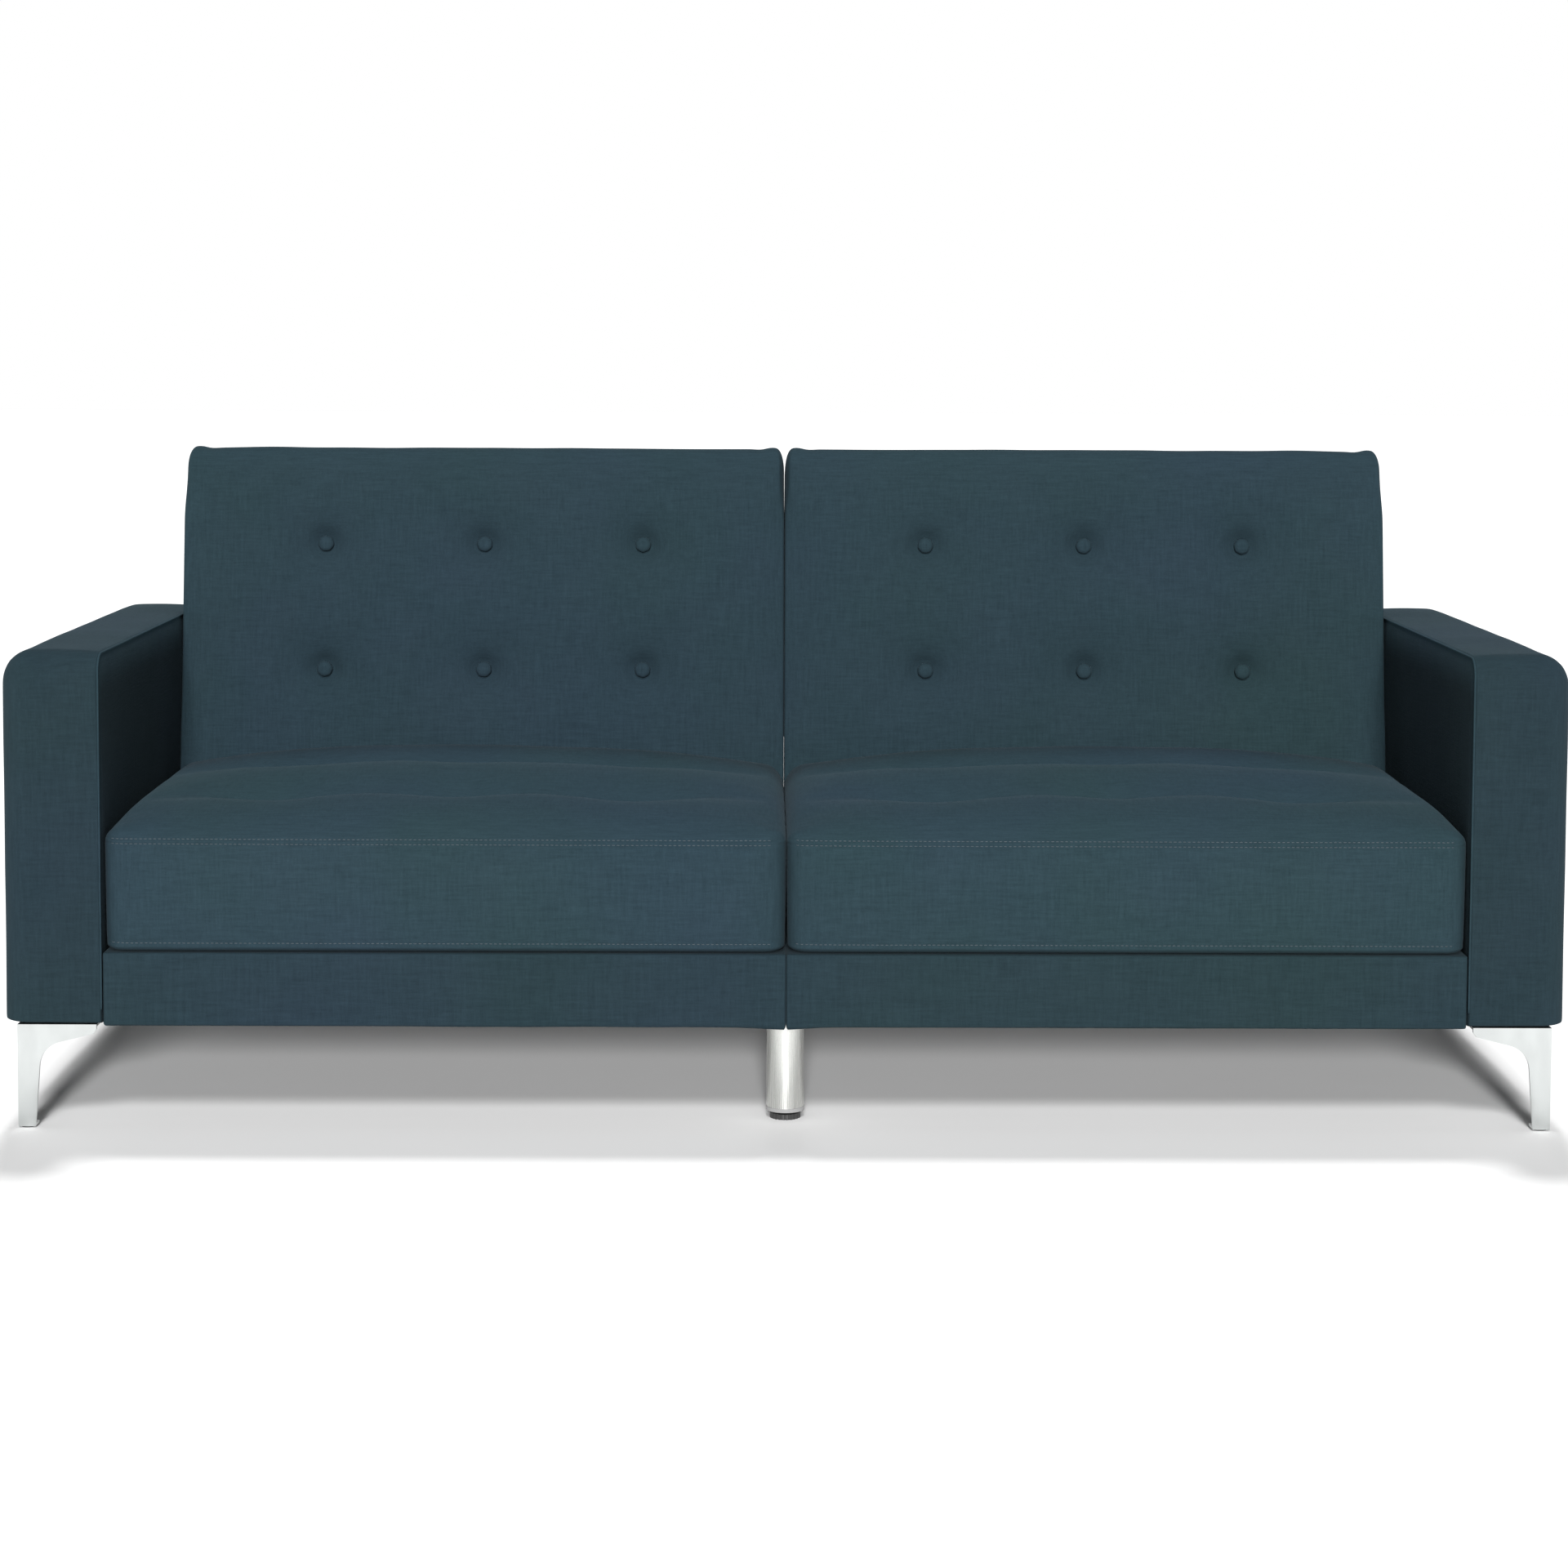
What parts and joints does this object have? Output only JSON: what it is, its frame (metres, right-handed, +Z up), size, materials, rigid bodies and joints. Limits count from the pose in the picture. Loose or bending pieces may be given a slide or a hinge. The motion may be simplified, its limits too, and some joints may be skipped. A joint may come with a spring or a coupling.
{
  "type": "click-clack sofa bed",
  "caption": "Split-back click-clack sofa bed in button-tufted woven fabric, with square track arms, swept chrome corner legs and backrests that recline flat on their own hinges.",
  "frame": {"origin": "on the floor under the middle of the sofa's overall box", "axes": "+X along the width, to the right in a front view; +Y to the rear; +Z up"},
  "size_m": [2, 0.79, 0.8503],
  "materials": {
    "upholstery": "matte",
    "dust_cloth": "matte",
    "foam": "matte",
    "timber": "matte",
    "plywood": "matte",
    "leg_chrome": "gloss",
    "tube_steel": "satin",
    "zinc_steel": "satin",
    "grey_plastic": "satin",
    "black_plastic": "matte"
  },
  "bodies": {
    "root": {"left_arm_frame": "timber", "left_arm_padding": "foam", "left_arm_cover": "upholstery", "left_base_frame": "timber", "left_base_cover": "upholstery", "left_seat_deck": "plywood", "left_dust_cover": "dust_cloth", "left_seat_foam": "foam", "left_seat_cover": "upholstery", "left_seat_buttons": "upholstery", "left_hinge_seat_plates": "zinc_steel", "right_arm_frame": "timber", "right_arm_padding": "foam", "right_arm_cover": "upholstery", "right_base_frame": "timber", "right_base_cover": "upholstery", "right_seat_deck": "plywood", "right_dust_cover": "dust_cloth", "right_seat_foam": "foam", "right_seat_cover": "upholstery", "right_seat_buttons": "upholstery", "right_hinge_seat_plates": "zinc_steel", "front_left_leg": "leg_chrome", "front_right_leg": "leg_chrome", "rear_left_leg": "leg_chrome", "rear_right_leg": "leg_chrome", "front_centre_leg": "tube_steel", "front_leg_collar": "grey_plastic", "rear_centre_leg": "tube_steel", "rear_leg_collar": "grey_plastic", "leg_glides": "black_plastic", "leg_screws": "zinc_steel", "centre_leg_screws": "zinc_steel", "seat_plate_screws": "zinc_steel", "arm_bolts": "zinc_steel", "centre_bolts": "zinc_steel"},
    "left_backrest": {"left_back_frame": "timber", "left_back_board": "plywood", "left_back_foam": "foam", "left_back_cover": "upholstery", "left_back_panel": "plywood", "left_back_buttons": "upholstery", "left_hinge_back_plates": "zinc_steel", "left_pawl_springs": "zinc_steel", "left_hinge_rivets": "zinc_steel", "left_back_plate_screws": "zinc_steel"},
    "left_pawls": {"left_hinge_pawls": "zinc_steel"},
    "right_backrest": {"right_back_frame": "timber", "right_back_board": "plywood", "right_back_foam": "foam", "right_back_cover": "upholstery", "right_back_panel": "plywood", "right_back_buttons": "upholstery", "right_hinge_back_plates": "zinc_steel", "right_pawl_springs": "zinc_steel", "right_hinge_rivets": "zinc_steel", "right_back_plate_screws": "zinc_steel"},
    "right_pawls": {"right_hinge_pawls": "zinc_steel"},
    "front_foot": {"front_levelling_foot": "black_plastic"},
    "rear_foot": {"rear_levelling_foot": "black_plastic"}
  },
  "joints": [
    {"name": "left_recline", "type": "hinge", "parent": "root", "child": "left_backrest", "pos_m": [-0.435, 0.209, 0.359], "axis": [-1, 0, 0], "range_deg": [0, 82]},
    {"name": "left_pawl_catch", "type": "hinge", "parent": "left_backrest", "child": "left_pawls", "pos_m": [-0.435, 0.24684, 0.38398], "axis": [1, 0, 0], "range_deg": [0, 5], "stiffness_Nm_per_rad": 0.3, "springref_deg": 11.46},
    {"name": "right_recline", "type": "hinge", "parent": "root", "child": "right_backrest", "pos_m": [0.435, 0.209, 0.359], "axis": [-1, 0, 0], "range_deg": [0, 82]},
    {"name": "right_pawl_catch", "type": "hinge", "parent": "right_backrest", "child": "right_pawls", "pos_m": [0.435, 0.24684, 0.38398], "axis": [1, 0, 0], "range_deg": [0, 5], "stiffness_Nm_per_rad": 0.3, "springref_deg": 11.46},
    {"name": "front_foot_height", "type": "slide", "parent": "root", "child": "front_foot", "axis": [0, 0, -1], "range_m": [-0.003, 0.012]},
    {"name": "rear_foot_height", "type": "slide", "parent": "root", "child": "rear_foot", "axis": [0, 0, -1], "range_m": [-0.003, 0.012]}
  ]
}
